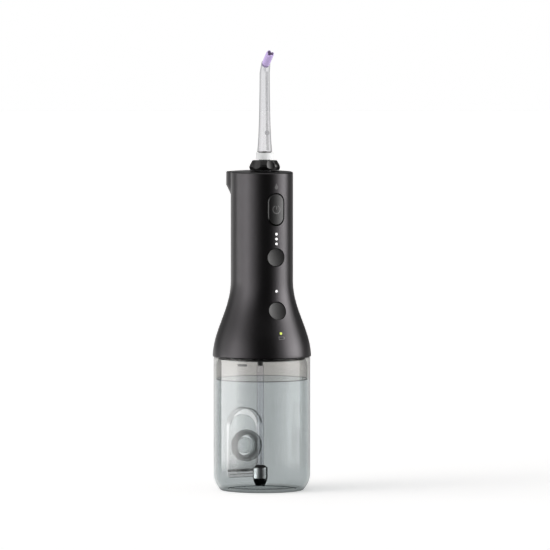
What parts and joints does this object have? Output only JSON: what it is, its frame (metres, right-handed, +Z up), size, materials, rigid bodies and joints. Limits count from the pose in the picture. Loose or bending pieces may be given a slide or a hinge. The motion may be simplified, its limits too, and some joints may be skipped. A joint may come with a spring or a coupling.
{
  "type": "cordless water flosser",
  "caption": "Cordless water flosser with a clear tank, flared handle with push buttons, pump drive inside and a bent jet nozzle with a soft tip.",
  "frame": {"origin": "centre of the tank's bottom, on the surface it stands on", "axes": "+Z up the handle to the nozzle, buttons face -Y, filling door faces +Y"},
  "size_m": [0.069, 0.069, 0.3082],
  "materials": {
    "clear_plastic": "clear, polished, moulded",
    "charcoal_plastic": "satin moulded, fine grain",
    "button_plastic": "satin moulded",
    "black_plastic": "polished black",
    "frosted_plastic": "frosted white",
    "clear_hose": "clear soft hose",
    "nozzle_clear": "clear, polished",
    "tip_rubber": "soft satin lavender",
    "seal_rubber": "satin",
    "translucent_rubber": "translucent silicone",
    "polished_steel": "polished steel",
    "steel": "turned",
    "light_lens": "lit white lens",
    "battery_lens": "lit yellow-green lens",
    "frame_plastic": "moulded grey",
    "board": "solder mask",
    "chip": "moulded black",
    "led": "phosphor",
    "cell_wrap": "shrink sleeve",
    "nickel": "nickel strip",
    "wire_skin": "insulation",
    "gear_plastic": "natural acetal",
    "brass": "turned",
    "pump_plastic": "moulded white"
  },
  "bodies": {
    "tank": {"tank_shell": "clear_plastic", "flap_hinge_pin": "steel"},
    "fill_flap": {"fill_door": "clear_plastic", "fill_seal": "translucent_rubber"},
    "handle": {"handle_housing": "charcoal_plastic", "base_plug": "black_plastic", "base_o_ring": "seal_rubber", "base_screws": "steel", "chassis_frame": "frame_plastic", "main_board": "board", "mode_board": "board", "tact_switches": "chip", "light_chips": "led", "level_light_lenses": "light_lens", "mode_light_lens": "light_lens", "battery_light_pipe": "battery_lens", "battery_cell": "cell_wrap", "battery_tabs": "nickel", "battery_leads": "wire_skin", "motor_leads": "wire_skin", "motor_can": "steel", "motor_end_cap": "frame_plastic", "gear_axle": "steel", "axle_clip": "steel", "pump_cylinder": "pump_plastic", "pump_head": "pump_plastic", "inlet_valve": "translucent_rubber", "outlet_valve": "translucent_rubber", "inlet_tube": "translucent_rubber", "outlet_tube": "translucent_rubber", "hose_spigot": "black_plastic", "suction_hose": "clear_hose", "weight_collar": "black_plastic", "hose_weight": "polished_steel", "intake_nose": "black_plastic", "outlet_seat": "frame_plastic", "seat_clip": "steel", "charge_inlet": "steel"},
    "motor_rotor": {"motor_shaft": "steel", "motor_pinion": "brass"},
    "crank": {"crank_gear": "gear_plastic", "crank_pin": "steel"},
    "piston": {"piston_yoke": "gear_plastic", "piston_seal": "seal_rubber"},
    "power_button": {"power_button": "button_plastic"},
    "intensity_button": {"intensity_button": "button_plastic"},
    "mode_button": {"mode_button": "button_plastic"},
    "nozzle_ring": {"nozzle_ring": "black_plastic"},
    "nozzle": {"nozzle_tube": "nozzle_clear", "nozzle_collar": "frosted_plastic", "stem_seal": "seal_rubber", "soft_tip": "tip_rubber"},
    "charge_cover": {"charge_cover": "seal_rubber"}
  },
  "joints": [
    {"name": "handle_lift", "type": "slide", "parent": "tank", "child": "handle", "axis": [0, 0, 1], "range_m": [0, 0.115]},
    {"name": "door_swing", "type": "hinge", "parent": "tank", "child": "fill_flap", "pos_m": [0, 0.0319, 0.011], "axis": [-1, 0, 0], "range_deg": [0, 95]},
    {"name": "power_press", "type": "slide", "parent": "handle", "child": "power_button", "axis": [0, 1, 0], "range_m": [0, 0.0008], "stiffness_N_per_m": 1500, "springref_m": -0.0002},
    {"name": "intensity_press", "type": "slide", "parent": "handle", "child": "intensity_button", "axis": [0, 1, 0], "range_m": [0, 0.0008], "stiffness_N_per_m": 1500, "springref_m": -0.0002},
    {"name": "mode_press", "type": "slide", "parent": "handle", "child": "mode_button", "axis": [0, 0.9687, -0.2482], "range_m": [0, 0.0008], "stiffness_N_per_m": 1500, "springref_m": -0.0002},
    {"name": "nozzle_turn", "type": "hinge", "parent": "handle", "child": "nozzle_ring", "pos_m": [0, -0.0046, 0.228], "axis": [0, 0, 1], "continuous": true},
    {"name": "nozzle_pull", "type": "slide", "parent": "nozzle_ring", "child": "nozzle", "axis": [0, 0, 1], "range_m": [0, 0.03]},
    {"name": "crank_spin", "type": "hinge", "parent": "handle", "child": "crank", "pos_m": [-0.01, -0.003, 0.111], "axis": [0, 0, 1], "continuous": true},
    {"name": "rotor_spin", "type": "hinge", "parent": "handle", "child": "motor_rotor", "pos_m": [0.00072, 0.006, 0.111], "axis": [0, 0, 1], "continuous": true},
    {"name": "piston_stroke", "type": "slide", "parent": "handle", "child": "piston", "axis": [1, 0, 0], "range_m": [-0.004, 0.004]},
    {"name": "cover_swing", "type": "hinge", "parent": "handle", "child": "charge_cover", "pos_m": [0, 0.0239, 0.1369], "axis": [-1, 0, 0], "range_deg": [0, 100]}
  ],
  "couplings": [
    {"joint": "rotor_spin", "follows": "crank_spin", "ratio": -4.6}
  ]
}
